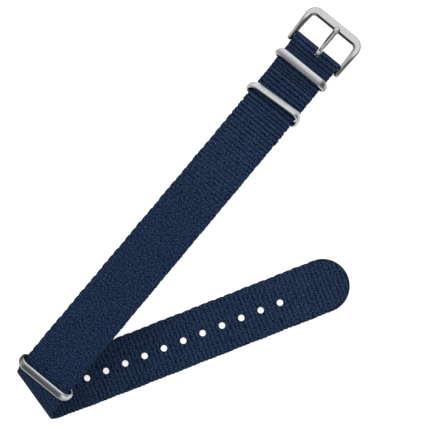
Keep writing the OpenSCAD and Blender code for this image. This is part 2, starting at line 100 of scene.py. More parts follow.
class Strip:
    """A flat strip bent about straight lines, one bend after another.

    Each bend is (flat length before it, skew, radius, turn); a positive turn curls towards the inner side.
    A bend whose skew is None lays the strip level, upside down."""

    def __init__(self, start, height, bends):
        way, side, normal = np.array([-1.0, 0, 0]), np.array([0, 1.0, 0]), np.array([0, 0, 1.0])
        spot, along = np.array([-start, 0.0, height]), start
        self.bends = []
        for gap, skew, radius, turn in bends:
            spot, along = spot + gap * way, along + gap
            if skew is None:
                level = np.cross(normal, [0, 0, 1.0])
                level /= np.linalg.norm(level)
                skew = math.degrees(math.atan2(-(level @ way), level @ side))
                turn = math.degrees(math.acos(-normal[2]))
            k = rad(skew)
            line, ahead = math.cos(k) * side - math.sin(k) * way, math.cos(k) * way + math.sin(k) * side
            sign, length = math.copysign(1, turn), radius * abs(rad(turn))
            self.bends.append((along, spot, way, side, normal, line, ahead, k, radius, sign, length))
            travel = length / math.cos(k)
            spot = spot + radius * math.sin(length / radius) * ahead \
                - sign * radius * (1 - math.cos(length / radius)) * normal - travel * math.sin(k) * line
            way, side, normal = (spun(v, line, -turn) for v in (way, side, normal))
            along += travel
        self.end = (along, spot, way, side, normal)
        self.skew = skew

    def place(self, a, b, w):
        """Points at distances a along and b across the flat strip and w outside its mid thickness."""
        a, b, w = np.broadcast_arrays(*(np.asarray(v, float) for v in (a, b, w)))
        out, left = np.zeros(a.shape + (3,)), np.ones(a.shape, bool)
        for along, spot, way, side, normal, line, ahead, k, radius, sign, length in self.bends:
            l = (a - along) * math.cos(k) + b * math.sin(k)
            flat, curl = left & (l < 0), left & (l >= 0) & (l <= length)
            out[flat] = spot + (a[flat] - along)[:, None] * way + b[flat][:, None] * side + w[flat][:, None] * normal
            c = (b * math.cos(k) - (a - along) * math.sin(k))[curl][:, None]
            turn = (sign * l[curl] / radius)[:, None]
            out[curl] = spot + radius * np.sin(abs(turn)) * ahead - sign * radius * (1 - np.cos(turn)) * normal \
                + c * line + w[curl][:, None] * (normal * np.cos(turn) + ahead * np.sin(turn))
            left &= ~(flat | curl)
        along, spot, way, side, normal = self.end
        out[left] = spot + (a[left] - along)[:, None] * way + b[left][:, None] * side + w[left][:, None] * normal
        return out


def long_strip():
    """The long band from the flap's end over the crest and round the fold to the tip."""
    start, hold = STRAND_FROM, HALF * math.tan(rad(FOLD_SKEW)) + CREST_EASE

    def laid(run, free):
        return Strip(start, STRAND_Z, [(0, 0, FOOT_R, -CLIMB), (run, 0, CREST_R, CLIMB + DIP),
                                       (hold, FOLD_SKEW, FOLD_R, FOLD_TURN), (free, None, TAIL_R, 0)])
    skew = laid(0, 0).skew
    free = HALF * abs(math.tan(rad(FOLD_SKEW)) - math.tan(rad(skew))) + FOLD_EASE
    run = (BAND_T / 2 - laid(0, free).end[1][2]) / math.sin(rad(CLIMB))
    strip = laid(run, free)
    strip.run = run
    return strip


LONG = long_strip()
CREST = LONG.bends[1]
CREST_WAY = np.array([-math.cos(rad(DIP)), 0, -math.sin(rad(DIP))])
CREST_UP = np.array([-math.sin(rad(DIP)), 0, math.cos(rad(DIP))])
CREST_MIDDLE = CREST[1] - CREST_R * CREST[4]
CREST_OUT = CREST_MIDDLE + CREST_R * CREST_UP
END_AXIS = CREST_OUT + END_BAR_AT * CREST_WAY - (BAND_T / 2 + END_GAP + BAND_T + LOOP_R) * CREST_UP
BAR_SWEEP = BAR_HALF * math.sin(rad(KEEPER_LEAN)) + KEEPER_T / 2
POCKET_H = 2 * BAR_SWEEP + POCKET_FLOOR + POCKET_CLEAR
KEEPER_Z = BAND_T + POCKET_FLOOR + BAR_SWEEP


def hump(d, at, half):
    return np.where(abs(d - at) < half, (1 + np.cos(np.pi * (d - at) / half)) / 2, 0)


def rise(d, start, end):
    return (1 - np.cos(np.pi * np.clip((d - start) / (end - start), 0, 1))) / 2


def under(d):
    """Height of the upper layer's underside at a distance d behind the pin."""
    half = KEEPER_W / 2 + POCKET_RUN
    return BAND_T + 2 * EYE_R * hump(d, 0, NECK) + POCKET_H * (hump(d, FRONT_AT, half) + hump(d, MIDDLE_AT, half)) \
        + (BAND_T + LAYER_GAP) * rise(d, MIDDLE_AT + 1, SHORT_AT)


class Track:
    """A line in the X-Z plane, followed by its length, with the normal on its outer side."""

    def __init__(self, points):
        points = np.asarray(points, float)
        step = np.linalg.norm(np.diff(points, axis=0), axis=1)
        points = points[np.r_[True, step > 1e-6]]
        self.points = points
        self.l = np.r_[0, np.cumsum(np.linalg.norm(np.diff(points, axis=0), axis=1))]
        way = np.gradient(points, self.l, axis=0)
        self.way = way / np.linalg.norm(way, axis=1)[:, None]
        self.length = self.l[-1]

    def place(self, l, b, w):
        l, b, w = np.broadcast_arrays(*(np.asarray(v, float) for v in (l, b, w)))
        x, z = (np.interp(l, self.l, self.points[:, i]) for i in (0, 1))
        wx, wz = (np.interp(l, self.l, self.way[:, i]) for i in (0, 1))
        size = np.hypot(wx, wz)
        return np.stack([x - w * wz / size, b, z + w * wx / size], -1)

    def at_x(self, x, top):
        """Length at which the line passes x, on its first run or on its run back."""
        turn = int(np.argmax(self.points[:, 0]))
        part = slice(0, turn + 1) if top else slice(turn, None)
        order = np.argsort(self.points[part, 0])
        return float(np.interp(x, self.points[part, 0][order], self.l[part][order]))


def flap_track():
    """From the strand's foot over both pockets, round the pin and back under itself to the flap's end."""
    d = np.linspace(STRAND_FROM, 0, 600)
    slope = (under(d + 0.01) - under(d - 0.01)) / 0.02
    size = np.sqrt(1 + slope ** 2)
    top = np.c_[-d + BAND_T / 2 * slope / size, under(d) + BAND_T / 2 / size]
    turn = np.radians(np.linspace(90, -90, 50)[1:])
    r = EYE_R + BAND_T / 2
    eye = np.c_[r * np.cos(turn), PIN_Z + r * np.sin(turn)]
    back = np.c_[np.linspace(0, -FLAP, 60)[1:], np.full(59, BAND_T / 2)]
    return Track(np.r_[top, eye, back])


FLAP_TRACK = flap_track()


def long_place(u, b, w):
    """The long band by the distance u from the flap's foot: ahead along the strand, or back round the pin."""
    u, b, w = np.broadcast_arrays(*(np.asarray(v, float) for v in (u, b, w)))
    out, ahead = np.zeros(u.shape + (3,)), u >= 0
    out[ahead] = LONG.place(STRAND_FROM + u[ahead], b[ahead], w[ahead])
    out[~ahead] = FLAP_TRACK.place(-u[~ahead], b[~ahead], w[~ahead])
    return out


SHORT_CREST_R = CREST_R - BAND_T - END_GAP
SHORT_SLOPE = CLIMB - math.degrees(math.asin((END_GAP - LAYER_GAP) / LONG.run))


def short_track():
    """Under the long band, over the crest, round the end keeper's bar and back under itself to the weld's end."""
    middle, way, up = (v[[0, 2]] for v in (CREST_MIDDLE, CREST_WAY, CREST_UP))
    foot, foot_r = LONG.bends[0][1][[0, 2]] + [0, FOOT_R], FOOT_R + BAND_T + LAYER_GAP
    slope, crest_l = rad(SHORT_SLOPE), SHORT_CREST_R * rad(SHORT_SLOPE + DIP)
    flat, loop_r = middle + SHORT_CREST_R * up, LOOP_R + BAND_T / 2
    front, back = END_BAR_AT + LOOP_FLAT, END_BAR_AT - LOOP_FLAT - LOOP_NECK

    def toward(turn):
        return np.array([math.sin(turn), math.cos(turn)])
    climb = np.array([-math.cos(slope), math.sin(slope)])

    def inner(l, w):
        """A point of the way back, l past the crest and w outside the band's middle."""
        if l > 0:
            return flat + l * way + w * up
        if l > -crest_l:
            return middle + (SHORT_CREST_R + w) * toward(-rad(DIP) - l / SHORT_CREST_R)
        return middle + (SHORT_CREST_R + w) * toward(slope) + (l + crest_l) * climb
    points = [np.array([-SHORT_AT, 1.5 * BAND_T])]
    points += [foot - foot_r * toward(t) for t in np.radians(np.linspace(0, SHORT_SLOPE, 8))]
    points += [middle + SHORT_CREST_R * toward(t) for t in np.radians(np.linspace(SHORT_SLOPE, -DIP, 14))]
    points += [flat + front * way - loop_r * up + loop_r * (math.cos(t) * way + math.sin(t) * up)
               for t in np.radians(np.linspace(90, -90, 30))]
    points += [inner(l, -BAND_T - 2 * LOOP_R * float(rise(l, back, END_BAR_AT - LOOP_FLAT)))
               for l in np.linspace(front, back - LOOP_WELD, 70)[1:]]
    return Track(points)


SHORT_TRACK = short_track()


def short_place(u, b, w):
    """The short band's points; its outer side faces the long band."""
    return SHORT_TRACK.place(u, b, -w)


# ---------------- meshes
def linked(name, data):
    """A mesh, lamp or camera as an object of the scene."""
    thing = bpy.data.objects.new(name, data)
    bpy.context.scene.collection.objects.link(thing)
    return thing


def mesh_object(name, verts, faces, floats=None):
    """A piece from points in millimetres in the pin's frame, with its measures kept as attributes."""
    mesh = bpy.data.meshes.new(name)
    mesh.from_pydata([tuple(v) for v in (np.asarray(verts) + PIN_AT) * MM], [], [tuple(f) for f in faces])
    for key, values in (floats or {}).items():
        mesh.attributes.new(key, "FLOAT", "POINT").data.foreach_set("value", np.full(len(verts), values, np.float32))
    mesh.polygons.foreach_set("use_smooth", [True] * len(mesh.polygons))
    mesh.update()
    return linked(name, mesh)


def outward(piece):
    """Merges doubles and turns every face outwards."""
    shape = bmesh.new()
    shape.from_mesh(piece.data)
    bmesh.ops.remove_doubles(shape, verts=shape.verts, dist=1e-7)
    bmesh.ops.recalc_face_normals(shape, faces=shape.faces)
    shape.to_mesh(piece.data)
    shape.free()


def bake(piece):
    """Keeps the plain mesh that a piece's modifiers make."""
    graph = bpy.context.evaluated_depsgraph_get()
    graph.update()
    made = bpy.data.meshes.new_from_object(piece.evaluated_get(graph), preserve_all_data_layers=True, depsgraph=graph)
    piece.modifiers.clear()
    old, piece.data = piece.data, made
    bpy.data.meshes.remove(old)
    made.name = piece.name


def combine(piece, operation, tool):
    """Cuts a tool out of a piece or joins it on, and takes the tool away."""
    step = piece.modifiers.new("combine", "BOOLEAN")
    step.operation, step.solver, step.object = operation, "EXACT", tool
    bake(piece)
    bpy.data.objects.remove(tool)


def coat(piece, material):
    piece.data.materials.clear()
    piece.data.materials.append(material)


def finish_piece(piece, body, slot_name, *nodes):
    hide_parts(*nodes)
    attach(piece, body)


# the webbing's columns across its width, closer where holes are cut, and the distance between its rows of points
COLUMNS = [-9.68, -8.5, -7.1, -5.7, -4.2, -2.8, -1.7, -1.2, -0.8, -0.4, 0,
           0.4, 0.8, 1.2, 1.7, 2.8, 4.2, 5.7, 7.1, 8.5, 9.68]
STEP = RIB_PITCH / 8


class WebbingSkin:
    """The closed skin of a band: two woven faces, two selvedges, two ends and the openings cut through it."""

    def __init__(self, place, stations, half, press=None):
        self.place, self.u, self.half = place, stations, half
        self.points, self.along, self.across, self.plain, self.seal, self.faces = [], [], [], [], [], []
        self.side, self.edges, self.removed = {}, {}, {1: set(), -1: set()}
        self.share = np.array(COLUMNS) / COLUMNS[-1]
        least = 0.02
        for face in (1, -1):
            rows = []
            for u in self.u:
                left, right = (max(half(u, hand) - SELVEDGE_R, least) for hand in (1, -1))
                deep, smooth = press(u) if press and face > 0 else (0.0, 0.0)
                rows.append(self.add(u, self.share * np.where(self.share > 0, left, right),
                                     face * BAND_T / 2 - deep, smooth))
            self.side[face] = np.array(rows)
        # selvedges, rounded from the top face to the lower face
        turns = np.radians(np.linspace(90, -90, SELVEDGE_STEPS + 2)[1:-1])
        for hand in (-1, 1):
            strips = []
            for u in self.u:
                full = half(u, hand)
                b = hand * (max(full - SELVEDGE_R, least) + min(SELVEDGE_R, full) * np.cos(turns))
                strips.append(self.add(u, b, BAND_T / 2 * np.sin(turns)))
            self.edges[hand] = np.array(strips)

    def add(self, u, b, w, plain=0.0, seal=0.0):
        """New points with how plain and how sealed they are; gives their numbers."""
        u, b, w, plain, seal = np.broadcast_arrays(u, b, w, plain, seal)
        start = len(self.along)
        self.points.extend(self.place(u, b, w))
        for values, more in ((self.along, u), (self.across, b), (self.plain, plain), (self.seal, seal)):
            values.extend(more)
        return np.arange(start, start + len(b))

    def face(self, corners, hand):
        self.faces.append(corners if hand > 0 else corners[::-1])

    def stitch(self, outer, inner, hand):
        for k in range(len(outer)):
            m = (k + 1) % len(outer)
            self.face((outer[k], outer[m], inner[m], inner[k]), hand)

    def cut(self, u0, b0, outline, rows, cols, lip=0.18):
        """Cuts an opening centred at (u0, b0), where rows and cols are the cells around it.

        outline(angle, face) gives the opening's edge from its centre."""
        i0 = int(np.argmin(abs(self.u - u0)))
        j0 = int(np.argmin(abs(self.share * (self.half(u0, 1) - SELVEDGE_R) - b0)))
        i_lo, i_hi, j_lo, j_hi = i0 - rows, i0 + rows, j0 - cols, j0 + cols
        ring = [(i_lo, j) for j in range(j_lo, j_hi)] + [(i, j_hi) for i in range(i_lo, i_hi)] \
            + [(i_hi, j) for j in range(j_hi, j_lo, -1)] + [(i, j_lo) for i in range(i_hi, i_lo, -1)]
        inner = []
        for face in (1, -1):
            self.removed[face].update((i, j) for i in range(i_lo, i_hi) for j in range(j_lo, j_hi))
            previous = np.array([self.side[face][i, j] for i, j in ring])
            u_out, b_out = np.array(self.along)[previous], np.array(self.across)[previous]
            angle = np.arctan2(b_out - b0, u_out - u0)
            target = np.array([outline(t, face) for t in angle])
            # loops of points from the cells' edge to the opening: how far in, how far outside it, how deep
            for share, out, drop in ((0.45, 0.0, 0.0), (0.75, 0.0, 0.0), (1.0, lip, 0.03), (1.0, lip * 0.35, 0.1),
                                     (1.0, 0.0, 0.26)):
                grow = target + out * np.c_[np.cos(angle), np.sin(angle)]
                fresh = self.add((1 - share) * u_out + share * (u0 + grow[:, 0]),
                                 (1 - share) * b_out + share * (b0 + grow[:, 1]),
                                 face * (BAND_T / 2 - drop), share, share if drop else 0.0)
                self.stitch(previous, fresh, face)
                previous = fresh
            inner.append(previous)
        self.stitch(*inner, 1)

    def close(self):
        """Faces of both woven sides, both selvedges and both ends."""
        cols, steps, last = len(COLUMNS), SELVEDGE_STEPS, len(self.u) - 1
        for hand, grid in self.side.items():
            for i in range(last):
                for j in range(cols - 1):
                    if (i, j) not in self.removed[hand]:
                        self.face((grid[i, j], grid[i, j + 1], grid[i + 1, j + 1], grid[i + 1, j]), hand)
        rings = np.hstack([self.side[1], self.edges[1], self.side[-1][:, ::-1], self.edges[-1][:, ::-1]])
        count = rings.shape[1]
        for i in range(last):
            for k in (*range(cols - 1, cols + steps), *range(count - steps - 1, count)):
                m = (k + 1) % count
                self.faces.append((rings[i][k], rings[i][m], rings[i + 1][m], rings[i + 1][k]))
        for ring, hand in ((rings[0], 1), (rings[-1], -1)):
            top, low = ring[:cols], ring[cols + steps:2 * cols + steps][::-1]
            right, left = ring[cols:cols + steps], ring[2 * cols + steps:][::-1]
            for j in range(cols - 1):
                self.face((top[j + 1], top[j], low[j], low[j + 1]), hand)
            self.face((top[-1], *right, low[-1]), -hand)
            self.face((top[0], *left, low[0]), hand)

    def piece(self, name, sealed, relief, weld):
        """The skin as a piece that knows its place in the weave, its melted rims and its pale weld line."""
        self.close()
        along, across = np.array(self.along), np.array(self.across)
        rim = sealed(along, across)
        return mesh_object(name, self.points, self.faces, {
            "along": along, "across": across, "plain": np.maximum(self.plain, rim),
            "seal": np.maximum(self.seal, rim), "relief": relief(along), "weld": weld(along)})


# ---------------- nodes
def maths(operation, swapped=False):
    """An operator between two values that places the node for it."""
    def method(self, other):
        return self.nodes.math(operation, *((other, self) if swapped else (self, other)))
    return method


class Value:
    """What a node gives out, so that node maths reads like plain maths."""

    def __init__(self, nodes, socket):
        self.nodes, self.socket = nodes, socket

    __add__ = __radd__ = maths("ADD")
    __mul__ = __rmul__ = maths("MULTIPLY")
    __sub__, __rsub__ = maths("SUBTRACT"), maths("SUBTRACT", swapped=True)
    __truediv__, __pow__ = maths("DIVIDE"), maths("POWER")


class Nodes:
    """Short ways to place and join shader or geometry nodes."""

    def __init__(self, tree):
        self.tree = tree

    def new(self, kind, sockets=None, **settings):
        """A node with its settings, its inputs filled by name or number with constants or other nodes' values."""
        node = self.tree.nodes.new(kind)
        for key, value in settings.items():
            setattr(node, key, value)
        for key, value in (sockets or {}).items():
            if isinstance(value, Value):
                self.tree.links.new(value.socket, node.inputs[key])
            else:
                node.inputs[key].default_value = value
        return node

    def get(self, kind, sockets=None, output=0, **settings):
        return Value(self, self.new(kind, sockets, **settings).outputs[output])

    def math(self, operation, *values):
        return self.get("ShaderNodeMath", dict(enumerate(values)), operation=operation)

    def mix(self, share, a, b):
        return self.get("ShaderNodeMix", {0: share, 6: a, 7: b}, 2, data_type="RGBA")

    def blend(self, share, a, b):
        return self.get("ShaderNodeMix", {0: share, 2: a, 3: b}, data_type="FLOAT")

    def ramp(self, value, low, high):
        return self.get("ShaderNodeMapRange", {"Value": value, "From Min": low, "From Max": high}, "Result")

    def arch(self, value):
        """0 at whole numbers and 1 halfway between them."""
        return self.math("SINE", self.math("FRACT", value) * math.pi)

    def vector(self, x, y, z):
        return self.get("ShaderNodeCombineXYZ", {0: x, 1: y, 2: z})

    def parts(self, vector, kind="ShaderNodeSeparateXYZ"):
        return [Value(self, socket) for socket in self.new(kind, {0: vector}).outputs]

    def noise(self, vector, scale, detail=2.0, roughness=0.5, output="Fac"):
        return self.get("ShaderNodeTexNoise", {"Vector": vector, "Scale": scale, "Detail": detail,
                                               "Roughness": roughness}, output)

    def attribute(self, name):
        return self.get("ShaderNodeAttribute", {}, "Fac", attribute_name=name)

    def bump(self, height, strength, distance):
        return self.get("ShaderNodeBump", {"Strength": strength, "Distance": distance, "Height": height})


# ---------------- materials
def new_material(name):
    material = bpy.data.materials.new(name)
    material.use_nodes = True
    n = Nodes(material.node_tree)
    n.tree.nodes.clear()
    return material, n


def finish_material(n, shader, kind="ShaderNodeOutputMaterial"):
    n.new(kind, {0: Value(n, shader.outputs[0])})


def navy_webbing():
    """Tight ribbed weave: rows of dots darkened with painted shade where the warp dives, half a yarn apart from row
    to row, with painted highlights on the floats' crowns.
    """
    material, n = new_material("navy_woven_webbing")
    along, across, plain, seal, relief, weld = (
        n.attribute(name) for name in ("along", "across", "plain", "seal", "relief", "weld"))
    flat = n.vector(along, across, 0.0)
    # the yarns wander, more where the weave lies flat
    drift = n.parts(n.noise(flat, 0.8, output="Color"), "ShaderNodeSeparateColor")
    aside, ahead = ((part - 0.5) * ((1.1 - relief) * 2.2) for part in drift[:2])
    rib = along / RIB_PITCH + ahead
    row = n.math("FLOOR", rib + 0.5)
    yarn = across / YARN_PITCH + n.math("PINGPONG", row, 1.0) * 0.5 + aside
    crown, flank = n.arch(rib), n.arch(yarn)
    groove, side = (1.0 - crown) ** 1.5, (1.0 - flank) ** 1.1
    own_depth = n.get("ShaderNodeTexWhiteNoise", {"Vector": n.vector(row, n.math("FLOOR", yarn + 0.5), 0.0)}, "Value",
                      noise_dimensions="2D")
    dot = groove * side * (own_depth * 1.2 + 0.3)
    # the finer over and under between the grooves, darkened with painted shade
    fine = (1.0 - n.arch(rib * 2.0)) ** 1.6 * (1.0 - n.arch(yarn + 0.5)) ** 1.2
    grain = n.noise(n.vector(along, across * 1.3, 0.0), 1.75, 2.0, 0.75)
    grain = (grain - 0.5) * ((1.0 - relief) * 2.2 + 3.2)
    hair = n.noise(n.vector(along * 2.2, across * 1.1, 0.0), 1.1, 2.0, 0.6)
    cloud = n.noise(flat, 0.13, 3.0, 0.6)
    # the floats' crowns get a painted highlight and the grooves, dots and finer dips get painted shade; the grain,
    # hairs, cloud and weld line are the yarn's own tone
    level = crown * flank * (relief * relief * 0.18 + 0.26) + 0.16
    level += groove * relief * relief * -0.22 + dot * (relief * 1.5 - 0.15) * -1.6 + fine * (relief + 0.1) * -0.9
    level += n.math("MINIMUM", relief, 0.6) * 0.35 + weld * 0.5 + grain + (hair - 0.5) * 1.8 + (cloud - 0.5) * 0.35
    # where the rows stand out the light end of the ramp is a greyer painted highlight, as of glossy yarn
    colour = n.mix(n.ramp(level, -0.1, 1.15), YARN_DARK, n.mix(relief, YARN_LIGHT, YARN_PAINTED_HIGHLIGHT))
    raised = grain * 0.3 - (dot + fine * 0.5)
    finish_material(n, n.new("ShaderNodeBsdfPrincipled", {
        "Base Color": n.mix(seal * 0.8, colour, SEALED), "Roughness": n.blend(seal, hair * 0.14 + 0.78, 0.34),
        "Specular IOR Level": 0.08, "Sheen Weight": 0.02, "Sheen Roughness": 0.55, "Sheen Tint": SHEEN,
        "Normal": n.bump(raised * (1.0 - plain), 0.9, 0.00018)}))
    return material


def satin_steel(name, shade=0.72, rough=0.28, grain=(900.0, 60.0, 900.0)):
    """Steel with fine brush lines and an uneven satin, darkened and roughened by a painted shade mask that stands in
    for dark reflections and shade.
    """
    material, n = new_material(name)
    spot, dull = n.get("ShaderNodeTexCoord", {}, "Object"), n.attribute("dull")
    lines = n.noise(n.get("ShaderNodeMapping", {"Vector": spot, "Scale": grain}), 6.0, 3.0, 0.6)
    level = n.blend(0.5, lines, n.noise(spot, 260.0, 3.0, 0.55))
    bright = n.mix(n.ramp(level, 0.3, 0.7), *((*(shade * part for part in parts), 1.0) for parts in SATIN_RANGE))
    finish_material(n, n.new("ShaderNodeBsdfPrincipled", {
        "Base Color": n.mix(dull, bright, STEEL_PAINTED_SHADE), "Metallic": 1.0,
        "Roughness": level * 0.14 + (rough - 0.06) + dull * 0.14, "Normal": n.bump(lines, 0.25, 0.00003)}))
    return material


# the weave's dark and light tone ends, spread partly by painted shade and highlight; the greyer painted highlight
# where rows stand out; the melted rim's colour; the sheen's tint
YARN_DARK, YARN_LIGHT = (0.0004, 0.0048, 0.0235, 1.0), (0.0345, 0.0698, 0.1465, 1.0)
YARN_PAINTED_HIGHLIGHT, SEALED = (0.045, 0.079, 0.153, 1.0), (0.004, 0.008, 0.02, 1.0)
SHEEN = (0.1559265, 0.2422811, 0.5149177, 1.0)
# the steel's painted shade colour, standing in for dark reflections, and between which shares of its shade the satin
# wanders
STEEL_PAINTED_SHADE, SATIN_RANGE = (0.045, 0.045, 0.047, 1.0), ((0.9, 0.9, 0.9), (1.04, 1.045, 1.05))
WEBBING = navy_webbing()
STEEL = satin_steel("satin_steel")
PIN_STEEL = satin_steel("drawn_pin_steel", 0.66, 0.24, (60.0, 900.0, 60.0))


# ---------------- repeated forms by geometry nodes
def node_tree(name, inputs):
    """An empty geometry tree with a mesh in and out and named inputs: sizes, places and a material."""
    tree = bpy.data.node_groups.new(name, "GeometryNodeTree")
    tree.interface.new_socket("Geometry", in_out="INPUT", socket_type="NodeSocketGeometry")
    kinds = {type(None): "NodeSocketMaterial", tuple: "NodeSocketVector", float: "NodeSocketFloat"}
    for label, value in inputs.items():
        socket = tree.interface.new_socket(label, in_out="INPUT", socket_type=kinds[type(value)])
        if value is not None:
            socket.default_value = value
    tree.interface.new_socket("Geometry", in_out="OUTPUT", socket_type="NodeSocketGeometry")
    n = Nodes(tree)
    return n, {socket.name: Value(n, socket) for socket in n.new("NodeGroupInput").outputs if socket.name}


def close_tree(n, geometry, material):
    """Every tree ends in plain geometry with its material."""
    whole = n.get("GeometryNodeRealizeInstances", {0: geometry})
    smooth = n.get("GeometryNodeSetShadeSmooth", {"Geometry": whole})
    n.new("NodeGroupOutput", {0: n.get("GeometryNodeSetMaterial", {"Geometry": smooth, "Material": material})})
    return n


def grown(piece, n, material, **values):
    """Runs a geometry tree on a piece and keeps the plain closed mesh that comes out."""
    modifier = piece.modifiers.new(n.tree.name, "NODES")
    modifier.node_group = n.tree
    values = {key.replace("_", " ").capitalize(): value for key, value in values.items()}
    values["Material"] = material
    for item in n.tree.interface.items_tree:
        if item.item_type == "SOCKET" and item.in_out == "INPUT" and item.name in values:
            modifier[item.identifier] = values.pop(item.name)
    assert not values, values
    bake(piece)
    outward(piece)
    return piece


def seed_piece(name):
    """An empty mesh for a tree that makes its own curves."""
    return linked(name, bpy.data.meshes.new(name))


def place_of(n):
    """The x, y and z of each point at that stage of a tree."""
    return n.parts(n.get("GeometryNodeInputPosition"))


def moved(n, geometry, **where):
    return n.get("GeometryNodeSetPosition", {"Geometry": geometry, **{k.capitalize(): v for k, v in where.items()}})


def rib_tree():
    """Presses the grooves between the rows of floats into a band, except where it is sealed or welded."""
    n, ins = node_tree("webbing_rows", {"Row pitch": RIB_PITCH, "Groove depth": RIB_DEPTH * MM, "Material": None})
    along, plain, relief = (n.get("GeometryNodeInputNamedAttribute", {"Name": name}, data_type="FLOAT")
                            for name in ("along", "plain", "relief"))
    sink = (n.arch(along / ins["Row pitch"]) ** 0.7 - 1.0) * ins["Groove depth"] * (1.0 - plain) * relief
    inward = n.get("ShaderNodeVectorMath", {0: n.get("GeometryNodeInputNormal"), "Scale": sink}, operation="SCALE")
    return close_tree(n, moved(n, ins["Geometry"], offset=inward), ins["Material"])


def wire_profile(n, width, thickness):
    """Section of a keeper's wire: flat in the middle, lightly crowned, with round edges."""
    circle = n.get("GeometryNodeCurvePrimitiveCircle", {"Resolution": 44, "Radius": 1.0}, mode="RADIUS")
    x, y, _ = place_of(n)

    def squared(value, size, power):
        return n.math("ABSOLUTE", value) ** power * n.math("SIGN", value) * (size * 0.5)
    return moved(n, circle, position=n.vector(squared(x, thickness, 0.9), squared(y, width, 0.55), 0.0))


def keeper_tree():
    """A flat wire bent round into a ring with four round corners, leaned and set on its lower bar."""
    n, ins = node_tree("keeper_ring", {
        "Span": 22.25 * MM, "Rise": 5.4 * MM, "Corner": 1.8 * MM, "Top corner": 3.3 * MM,
        "Wire width": KEEPER_W * MM, "Wire thickness": KEEPER_T * MM, "End run": 2.2 * MM, "End draw": 0.7,
        "Near dullness": 0.45, "Far dullness": 0.45, "Side dullness": 0.0, "Lean": (0.0, 0.0, 0.0), "Skew": 0.0,
        "Place": (0.0, 0.0, 0.0), "Material": None})
    x, y, z = place_of(n)
    loop = n.get("GeometryNodeCurvePrimitiveQuadrilateral", {"Width": ins["Span"], "Height": ins["Rise"]},
                 mode="RECTANGLE")
    corner = n.blend(n.math("GREATER_THAN", y, 0.0), ins["Corner"], ins["Top corner"])
    bent = n.get("GeometryNodeFilletCurve", {"Curve": loop, "Count": 14, "Radius": corner}, mode="POLY")
    wire = n.get("GeometryNodeCurveToMesh", {
        "Curve": bent, "Profile Curve": wire_profile(n, ins["Wire width"], ins["Wire thickness"])})
    stood = n.get("GeometryNodeTransform", {"Geometry": wire, "Translation": n.vector(0.0, 0.0, ins["Rise"] * 0.5),
                                            "Rotation": (math.pi / 2, 0.0, math.pi / 2)})
    # the wire draws in where it bends round the ends
    share = (n.math("ABSOLUTE", y) - (ins["Span"] * 0.5 - ins["End run"])) / (ins["End run"] * 1.3)
    share = n.math("MINIMUM", n.math("MAXIMUM", share, 0.0), 1.0)
    kept = n.math("SQRT", 1.0 - share * share * ins["End draw"])
    # the lower bar is a little narrower, so that it turns freely in its pocket
    kept = kept * (1.0 - (1.0 - n.ramp(z, 0.6 * MM, 1.6 * MM)) * 0.12)
    drawn = moved(n, stood, position=n.vector(x * kept, y, z))
    # painted shade along the bars' fold side and round the ends, standing in for dark reflections
    aside = x / ins["Wire width"] * -1.0
    band = n.ramp(aside, -0.2, 0.2) * (1.0 - n.ramp(aside, 0.3, 0.4) * 0.7) * ins["Side dullness"]
    ends = share ** 1.2 * n.blend(n.math("GREATER_THAN", y, 0.0), ins["Near dullness"], ins["Far dullness"])
    marked = n.get("GeometryNodeStoreNamedAttribute", {
        "Geometry": drawn, "Name": "dull", "Value": n.math("MAXIMUM", n.math("MINIMUM", 1.0, ends), band)},
        data_type="FLOAT", domain="POINT")
    leaned = n.get("GeometryNodeTransform", {"Geometry": marked, "Rotation": ins["Lean"]})
    # the upper bar stands slightly askew over the strap
    askew = y * ins["Skew"] * n.ramp(z, 1.0 * MM, 3.6 * MM)
    return close_tree(n, moved(n, leaned, position=n.vector(x - askew, y, z), offset=ins["Place"]), ins["Material"])


def spring_tree():
    """A wound wire along the Y axis."""
    n, ins = node_tree("wound_spring", {
        "Turns": float(SPRING_TURNS), "Length": SPRING_LENGTH * MM, "Coil radius": COIL_R * MM,
        "Wire radius": WIRE_R * MM, "Place": (0.0, 0.0, 0.0), "Material": None})
    coil = n.get("GeometryNodeCurveSpiral", {
        "Resolution": 20, "Rotations": ins["Turns"], "Start Radius": ins["Coil radius"],
        "End Radius": ins["Coil radius"], "Height": ins["Length"]})
    section = n.get("GeometryNodeCurvePrimitiveCircle", {"Resolution": 8, "Radius": ins["Wire radius"]},
                    mode="RADIUS")
    wire = n.get("GeometryNodeCurveToMesh", {"Curve": coil, "Profile Curve": section, "Fill Caps": True})
    laid = n.get("GeometryNodeTransform", {"Geometry": wire, "Rotation": (-math.pi / 2, 0.0, 0.0),
                                           "Translation": ins["Place"]})
    return close_tree(n, laid, ins["Material"])


# ---------------- the two bands
TOTAL = BAND_LENGTH - STRAND_FROM
FLAP_TURN = FLAP_TRACK.l[int(np.argmax(FLAP_TRACK.points[:, 0]))]


def behind_pin(u):
    """Distance behind the pin at a length on the flap's two runs."""
    return -np.interp(-u, FLAP_TRACK.l, FLAP_TRACK.points[:, 0])


def upper_run(u):
    """The same on the upper run alone."""
    return np.where((u < 0) & (u > -FLAP_TURN), behind_pin(u), 0.0)


